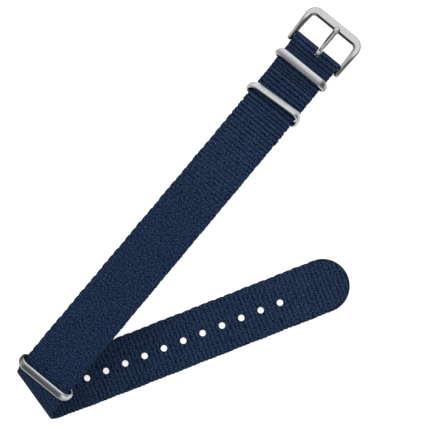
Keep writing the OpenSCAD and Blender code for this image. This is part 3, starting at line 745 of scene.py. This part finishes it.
def long_half(u, hand):
    """Half width of the long band with its looped selvedge, fuller round the pin and drawn in between the keepers."""
    behind = float(behind_pin(u)) if u < 0 else 99.0
    round_pin = 1 - float(rise(behind, 2.6, 4.2))
    long_wave, short_wave = SELVEDGE_WAVES[hand] if u > 0 else (1.5 * SELVEDGE_DEPTH * (1 - round_pin),
                                                                0.22 * (1 - round_pin))
    turn = math.pi * u / SELVEDGE_PITCH
    half = HALF + long_wave * (abs(math.sin(turn)) ** 0.9 - 0.66) + short_wave * (abs(math.sin(2 * turn)) - 0.6)
    half += (1 - round_pin) * (0.05 * math.sin(0.37 * u) + 0.04 * math.sin(0.93 * u + 1)) + 0.1 * round_pin
    if 4.2 < behind < 30:
        half -= 0.15 * min(1, (30 - behind) / 4) * min(1, (behind - 4.2) / 2)
    into = u - (TOTAL - HALF)
    if into > 0:
        half = min(half, math.sqrt(max(HALF ** 2 - into ** 2, 0)))
    return max(half, 0.0)


def seam_press(u):
    """How deep and how smooth the top face is pressed by the welds between the keepers."""
    deep = max(math.exp(-((upper_run(u) - at) / 0.32) ** 2) for at in SEAMS)
    return (0.16 * deep, deep) if u < 0 else (0.0, 0.0)


def weld_line(u):
    """The pale line that the ultrasonic weld leaves across the flap."""
    return np.exp(-((upper_run(u) - SEAMS[0]) / 0.22) ** 2)


def long_sealed(along, across):
    """The melted rim of the round tip and of the flap's end."""
    into = along - (TOTAL - HALF)
    tip = np.clip((np.hypot(np.maximum(into, 0), across) - HALF + 0.62) / 0.3, 0, 1) * (into > 0.5)
    return np.maximum(tip, np.clip((-FLAP_TRACK.length + 0.5 - along) / 0.3, 0, 1))


def relief_along(u):
    """The weave stands out at the buckle end and lies flatter where the strap has been drawn tight."""
    return np.interp(u, [-80, -8, 6, 40, 100, 128, 146, 262], [1, 1, 0.75, 0.3, 0.15, 0.2, 0.68, 0.62])


def make_long_band():
    body = np.arange(-FLAP_TRACK.length, TOTAL - HALF, STEP)
    tip = TOTAL - HALF + HALF * np.sin(np.linspace(0, np.pi / 2, 50)[1:-1])
    skin = WebbingSkin(long_place, np.r_[body, tip, TOTAL - 0.01], long_half, seam_press)
    for i in range(HOLES):
        skin.cut(TOTAL - HOLE_START - i * HOLE_PITCH, 0.0,
                 lambda t, face: (HOLE_D / 2 * math.cos(t), HOLE_D / 2 * math.sin(t)), 10, 4)
    # slot for the tongue through the turn round the pin, narrower towards its ends
    back, low = -FLAP_TRACK.at_x(SLOT_FROM, True), -FLAP_TRACK.at_x(-SLOT_BACK, False)
    length = (back - low) / 2
    shut = length - (back + FLAP_TRACK.at_x(SLOT_FROM_OUTSIDE, True))

    def slot(t, face):
        c, s = math.cos(t), math.sin(t)
        run = shut if face > 0 and c > 0 else length
        reach = ((abs(c) / run) ** SLOT_POWER + (abs(s) / SLOT_HALF) ** SLOT_POWER) ** (-1 / SLOT_POWER)
        return reach * c, reach * s
    skin.cut((back + low) / 2, TONGUE_Y, slot, int(length / STEP) + 3, 3, 0.12)
    return skin.piece("long_band_webbing", long_sealed, relief_along, weld_line)


def short_half(u, hand):
    return HALF - 0.06 + SELVEDGE_DEPTH * (abs(math.sin(math.pi * (u + 0.8) / SELVEDGE_PITCH)) ** 0.6 - 0.78)


def make_short_band():
    skin = WebbingSkin(short_place, np.arange(0, SHORT_TRACK.length, STEP), short_half)
    return skin.piece("short_band_webbing",
                      lambda along, across: np.clip((along - SHORT_TRACK.length + 0.5) / 0.3, 0, 1),
                      lambda along: 0.8, lambda along: 0.0)


ROWS = rib_tree()
for made, node, length, rests in ((make_long_band(), "long_band", TOTAL + FLAP_TRACK.length, "spring_bar_tube"),
                                  (make_short_band(), "short_band", SHORT_TRACK.length, "long_band_webbing")):
    finish_piece(grown(made, ROWS, WEBBING), "webbing", "webbing", node)


# ---------------- keepers
KEEPER_RING = keeper_tree()
MIDDLE_TURN = 3.3
# each ring's place, lean, turn of the upper bar, and how much painted shade its fold side and its two ends get
for name, at, lean, turn, side, near, far in (
        ("front_keeper", (-FRONT_AT, 0, KEEPER_Z), FRONT_LEAN, 0.0, 0.62, 0.4, 0.15),
        ("middle_keeper", (-MIDDLE_AT, 0, KEEPER_Z), KEEPER_LEAN, MIDDLE_TURN, 0.1, 0.15, 0.35),
        ("end_keeper", tuple(END_AXIS), -DIP - END_LEAN, 0.0, 0.5, 0.0, 1.5)):
    ring = grown(seed_piece(name + "_ring"), KEEPER_RING, STEEL, side_dullness=side, near_dullness=near,
                 far_dullness=far, skew=math.tan(rad(turn)), lean=(0.0, rad(lean), 0.0),
                 place=tuple((np.array(at) + PIN_AT) * MM))
    finish_piece(ring, name, "hardware", name)


# ---------------- buckle frame
def skin_faces(rings, count, joined=False):
    """Quads between closed rings of points in order; the two ends are closed, or joined to each other."""
    faces = []
    for i in range(rings if joined else rings - 1):
        near, far = i * count, (i + 1) % rings * count
        faces += [(near + k, near + (k + 1) % count, far + (k + 1) % count, far + k) for k in range(count)]
    return faces if joined else faces + [tuple(range(count)), tuple(range((rings - 1) * count, rings * count))[::-1]]


def drooped(points, aside=0.0):
    """Points turned about the Y axis as the buckle hangs on its pin."""
    c, s = math.cos(rad(DROOP)), math.sin(rad(DROOP))
    x, y, z = np.asarray(points, float).T
    return np.c_[x * c + z * s, y + aside, z * c - x * s + PIN_Z]


# Along the frame's outer edge: where, whole width, outer facet's run and drop, inner facet's run and drop, softness
ARM_SECTIONS = np.array([
    (-ARM_TAIL, 1.75, 0.7, 0.66, 0.75, 0.7, 0.1), (1.0, 1.95, 0.72, 0.5, 0.94, 0.62, 0.08),
    (4.6, 2.1, 0.66, 0.42, 1.14, 0.66, 0.07), (7.0, 2.3, 0.5, 0.32, 1.1, 0.64, 0.06),
    (9.45, 2.6, 0.3, 0.28, 0.8, 0.64, 0.05)])
BAR_SECTION = np.array([3.15, 0.2, 0.3, 0.58, 1.1, 0.04])
# points round the frame's section, the width of the painted shade line along its edges, and where its rounded tails
# begin
SECTION_POINTS, EDGE_LINE, TAIL_FROM = 88, 0.2, -ARM_TAIL + 1.0
TIP_HOLE_R, TIP_HOLE_DEPTH = 0.45, 2.0


def frame_section(values):
    """Closed outline of the frame's wire at one place, from outside to inside, and how much painted shade each point
    gets.
    """
    width, out_run, out_drop, in_run, in_drop, soft = values
    half = FRAME_H / 2
    crest_end = max(width - in_run, out_run + 0.02)
    corners = np.array([(0, -half), (0, half - out_drop), (out_run, half), (crest_end, half),
                        (width, half - in_drop), (width, -half), (0, -half)])
    ends = np.r_[0, np.cumsum(np.linalg.norm(np.diff(corners, axis=0), axis=1))]
    spots = np.linspace(0, ends[-1], SECTION_POINTS, endpoint=False)
    x, z = (np.interp(spots, ends, corners[:, i]) for i in (0, 1))
    # the facets themselves keep the plain steel colour; walls, the crease between the facets and the edges get
    # painted shade, standing in for dark reflections and shade
    inner = (in_drop - 0.85) / 0.2
    crease = 1.3 * max(0.0, 1 - (width - in_run - out_run) / 0.9)
    facet = np.array([1.0, 0.95 - 0.75 * min(out_run / 0.7, 1), crease, min(max(inner, 0.3), 1.0), 1.0, 0.9])
    which = np.clip(np.searchsorted(ends, spots, side="right") - 1, 0, 5)
    upper = z > half - max(out_drop, in_drop) - 0.1
    dull = np.maximum(facet[which], 0.9 * np.clip(1 - np.minimum(x, width - x) / EDGE_LINE, 0, 1) * upper)
    gap = np.arange(SECTION_POINTS) - SECTION_POINTS // 2
    weight = np.exp(-0.5 * (gap * ends[-1] / SECTION_POINTS / soft) ** 2)
    weight /= weight.sum()

    def eased(values):
        return np.real(np.fft.ifft(np.fft.fft(values) * np.fft.fft(np.fft.ifftshift(weight))))
    return np.c_[eased(x), eased(z)], eased(dull)


def make_buckle_frame():
    """Sections set along the frame's outer edge: one arm, its corner and half the bar, then the same mirrored."""
    wide, narrow, corner_x = HALF + ARM_CLEAR + ARM_ROOT, HALF + ARM_CLEAR + ARM_END, REACH - CORNER
    slope = (wide - narrow) / (corner_x + ARM_TAIL)
    normal = np.array([slope, -1.0]) / math.hypot(slope, 1)

    def arm_values(x):
        return np.array([np.interp(x, ARM_SECTIONS[:, 0], column) for column in ARM_SECTIONS[:, 1:].T])
    stops = [(TAIL_FROM - math.cos(turn), math.sin(turn)) for turn in np.radians(np.linspace(4, 90, 12))]
    stops += [(x, 1.0) for x in np.linspace(TAIL_FROM, corner_x, 62)[1:]]
    rings = [(np.array([x, narrow + slope * (x + ARM_TAIL)]), normal, arm_values(max(x, TAIL_FROM)), size)
             for x, size in stops]
    arm = arm_values(corner_x)
    for turn in np.radians(np.linspace(0, 90, 27)[1:]):
        out = np.array([math.sin(turn), math.cos(turn)])
        values = arm + rise(np.degrees(turn), 0, 90) * (BAR_SECTION - arm)
        rings.append((np.array([corner_x, wide - CORNER]) + CORNER * out, -out, values, 1.0))
    rings += [(np.array([REACH, y]), np.array([-1.0, 0.0]), BAR_SECTION, 1.0)
              for y in np.linspace(wide - CORNER, 0, 12)[1:]]
    rings += [(spot * [1, -1], way * [1, -1], values, size) for spot, way, values, size in rings[-2::-1]]
    verts, dull = [], []
    for spot, way, values, size in rings:
        ring, shade = frame_section(values)
        middle = np.array([values[0] / 2, 0.0])
        ring = middle + (ring - middle) * size
        verts.extend(np.c_[spot + ring[:, :1] * way, ring[:, 1]])
        # the rounded tails get more painted shade as they close
        dull.extend(np.clip(shade + 0.8 * (1 - size), 0, 1))
    piece = mesh_object("buckle_frame_forged", drooped(verts), skin_faces(len(rings), SECTION_POINTS), {"dull": dull})
    outward(piece)
    # blind holes for the spring bar's tips
    for side in (-1, 1):
        middle = PIN_AT + [0, side * (HALF + ARM_CLEAR + 0.1), PIN_Z]
        bpy.ops.mesh.primitive_cylinder_add(vertices=32, radius=TIP_HOLE_R * MM, depth=TIP_HOLE_DEPTH * MM,
                                            rotation=(math.pi / 2, 0, 0), location=middle * MM)
        combine(piece, "DIFFERENCE", bpy.context.object)
    coat(piece, STEEL)
    return piece


finish_piece(make_buckle_frame(), "buckle", "hardware", "buckle_frame")


# ---------------- tongue
def signed(value, power):
    """A power that keeps the sign of its value."""
    return np.sign(value) * abs(value) ** power


def make_tongue():
    """A flattened end wrapped round the tube, a shank that swells to round, and a ball on the front bar."""
    eye_out, rest, ball_r, count = EYE_R + TONGUE_WALL, 0.06, BULB_D / 2, 40
    shank_z, tip_z = eye_out - SHANK_D / 2, FRAME_H / 2 + rest + SHANK_D / 2
    ball_x = TONGUE_LENGTH - ball_r
    around = np.linspace(0, 2 * np.pi, count, endpoint=False)
    c, s = np.cos(around), np.sin(around)
    verts, dull = [], []
    xs = np.r_[0.86, np.linspace(1.1, 9.2, 34), np.linspace(9.3, ball_x, 14),
               ball_x + ball_r * np.sin(np.radians(np.linspace(8, 88, 14)))]
    for x in xs:
        line = shank_z + (tip_z - shank_z) * x / ball_x
        grow = rise(x, 0.4, 4.6)
        wide = 0.58 + 0.28 * grow + 0.12 * rise(x, 3, 7.5) - 0.1 * rise(x, 8.2, 9.3)
        high, z = 0.5 + 0.28 * rise(x, 0.4, 2.6), 0.42 + (line - 0.42) * rise(x, 0.6, 2.4)
        if x > 9.2:
            wide += (ball_r - wide) * rise(x, 9.2, ball_x)
            high += 0.05 * rise(x, 9.2, ball_x)
            z = min(line, tip_z)
        if x > ball_x:
            shrink = math.sqrt(max(1 - ((x - ball_x) / ball_r) ** 2, 0))
            wide, high = wide * shrink, high * shrink ** 0.8
        boxy = 1.0 - 0.25 * (1 - float(grow))
        verts.extend(np.c_[np.full(count, x), signed(c, boxy) * wide, z + signed(s, boxy) * high])
        # painted shade along one flank of the shank and round the ball's rim, standing in for shade and dark
        # reflections
        flank = rise(c, 0.0, 0.5) * (0.3 + 0.7 * rise(x, 2, 6)) * (1 - rise(x, 9.6, 10.4))
        rim = rise(x, 9.0, 9.8) * rise(np.hypot(c, max(x - ball_x, 0) / ball_r), 0.66, 0.95)
        dull.extend(np.maximum(flank, 0.9 * rim))
    shank = mesh_object("buckle_tongue_forged", drooped(verts, TONGUE_Y), skin_faces(len(xs), count), {"dull": dull})
    outward(shank)
    # the eye, a strip bent round the tube
    verts, turns, section = [], 56, 16
    for turn in np.linspace(0, 2 * np.pi, turns, endpoint=False):
        across = 0.5 + 0.12 * math.cos(turn)
        for t in np.linspace(0, 2 * np.pi, section, endpoint=False):
            r = (eye_out + EYE_R) / 2 + 0.02 + (TONGUE_WALL / 2 - 0.02) * signed(math.sin(t), 0.5)
            verts.append((r * math.cos(turn), across * signed(math.cos(t), 0.4), r * math.sin(turn)))
    eye = mesh_object("buckle_tongue_eye", drooped(verts, TONGUE_Y), skin_faces(turns, section, joined=True))
    outward(eye)
    combine(shank, "UNION", eye)
    shank.data.polygons.foreach_set("use_smooth", [True] * len(shank.data.polygons))
    coat(shank, STEEL)
    return shank


finish_piece(make_tongue(), "tongue", "hardware", "buckle_tongue")


# ---------------- spring bar
for node in ("spring_bar_tube", "spring_bar_tip_left", "spring_bar_tip_right"):
    coat(frame["nodes"][node], PIN_STEEL)

pin = PIN_AT + [0, 0, PIN_Z]
COIL = spring_tree()
for side, start in (("left", 0.0), ("right", -SPRING_LENGTH / 2)):
    # each half gives way to its own tip and meets the other in the middle
    spring = grown(seed_piece("spring_bar_coil_" + side), COIL, PIN_STEEL, turns=SPRING_TURNS / 2,
                   length=SPRING_LENGTH / 2 * MM, place=tuple((pin + [0, start, 0]) * MM))
    finish_piece(spring, "buckle", "pin_steel", "spring_bar_spring")
    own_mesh(spring)


# ---------------- floor, light and camera
def ray(n, kind):
    return n.get("ShaderNodeLightPath", {}, f"Is {kind} Ray")


def pale_floor():
    """White to the camera and in the steel, with the strap's soft shadow kept."""
    bpy.ops.mesh.primitive_plane_add(size=3.0, location=(0, 0, -0.0001))
    floor = bpy.context.object
    floor.name = "pale_floor"
    material, n = new_material("pale_floor")
    matte = n.get("ShaderNodeBsdfDiffuse", {"Color": (0.62, 0.62, 0.62, 1)})
    glow = n.get("ShaderNodeEmission", {
        "Color": (1, 1, 1, 1),
        "Strength": n.math("MAXIMUM", ray(n, "Camera"), ray(n, "Transmission")) * 0.77 + ray(n, "Glossy") * 0.4})
    finish_material(n, n.new("ShaderNodeAddShader", {0: matte, 1: glow}))
    coat(floor, material)


ROOM = (0.72, 0.72, 0.72, 1)
STEEL_SKY, STEEL_BRIGHT = (0.945, 0.94, 0.935, 1), (1.0, 1.05, 1.11, 1)
STEEL_NEAR, STEEL_MIDDLE, STEEL_DARK = (0.1, 0.11, 0.13, 1), (0.3, 0.31, 0.34, 1), (0.05, 0.055, 0.06, 1)


def studio():
    """An even pale room, darker low down on the side of the fold, and one broad lamp."""
    world = bpy.data.worlds.new("studio")
    bpy.context.scene.world = world
    world.use_nodes = True
    n = Nodes(world.node_tree)
    n.tree.nodes.clear()
    x, y, _ = n.parts(n.get("ShaderNodeTexCoord", {}, "Generated"))
    # what the steel sees: pale above, bright beyond the buckle, dark low down by the fold and the near side
    left, near = x * -1.0, y * -1.0
    across = 1.0 - n.ramp(near, 0.12, 0.5)
    seen = n.mix(n.ramp(x, 0.15, 0.95), STEEL_SKY, STEEL_BRIGHT)
    seen = n.mix(n.ramp(near, 0.12, 0.62) * (1.0 - n.ramp(left, 0.1, 0.45)), seen, STEEL_NEAR)
    seen = n.mix(n.ramp(left, -0.22, 0.42) * across, seen, STEEL_MIDDLE)
    seen = n.mix(n.ramp(left, 0.7, 0.86) * across, seen, STEEL_DARK)
    sky = n.new("ShaderNodeBackground", {"Color": n.mix(ray(n, "Glossy"), ROOM, seen), "Strength": 1.0})
    finish_material(n, sky, "ShaderNodeOutputWorld")
    lamp = bpy.data.lights.new("broad_lamp", "AREA")
    lamp.shape, lamp.size, lamp.size_y, lamp.energy = "RECTANGLE", 0.6, 0.6, 1.6
    light = linked("broad_lamp", lamp)
    light.location = (0.25, 0.35, 0.6)
    light.rotation_euler = (-Vector(light.location)).to_track_quat("-Z", "Y").to_euler()
    light.visible_glossy = False


def photo_camera():
    """The photograph's own view: nearly straight down from 1.29 m, turned so the strand runs to the lower left."""
    right, up = np.array([0.633542, -0.773701, 0.003445]), np.array([0.772233, 0.632602, 0.058906])
    back = np.array([-0.047755, -0.034659, 0.998258])
    aim, far = np.array([0.00593, 0.01785, 0.0]), 1.28775
    lens = bpy.data.cameras.new("photo_camera")
    lens.sensor_width, lens.lens = 36.0, 292.09
    lens.clip_start, lens.clip_end = 0.05, 10.0
    camera = linked("photo_camera", lens)
    camera.matrix_world = Matrix(np.vstack([np.c_[right, up, back, aim + far * back], [0, 0, 0, 1]]))
    bpy.context.scene.camera = camera


pale_floor()
studio()
photo_camera()
bpy.context.scene.view_settings.view_transform = "Standard"
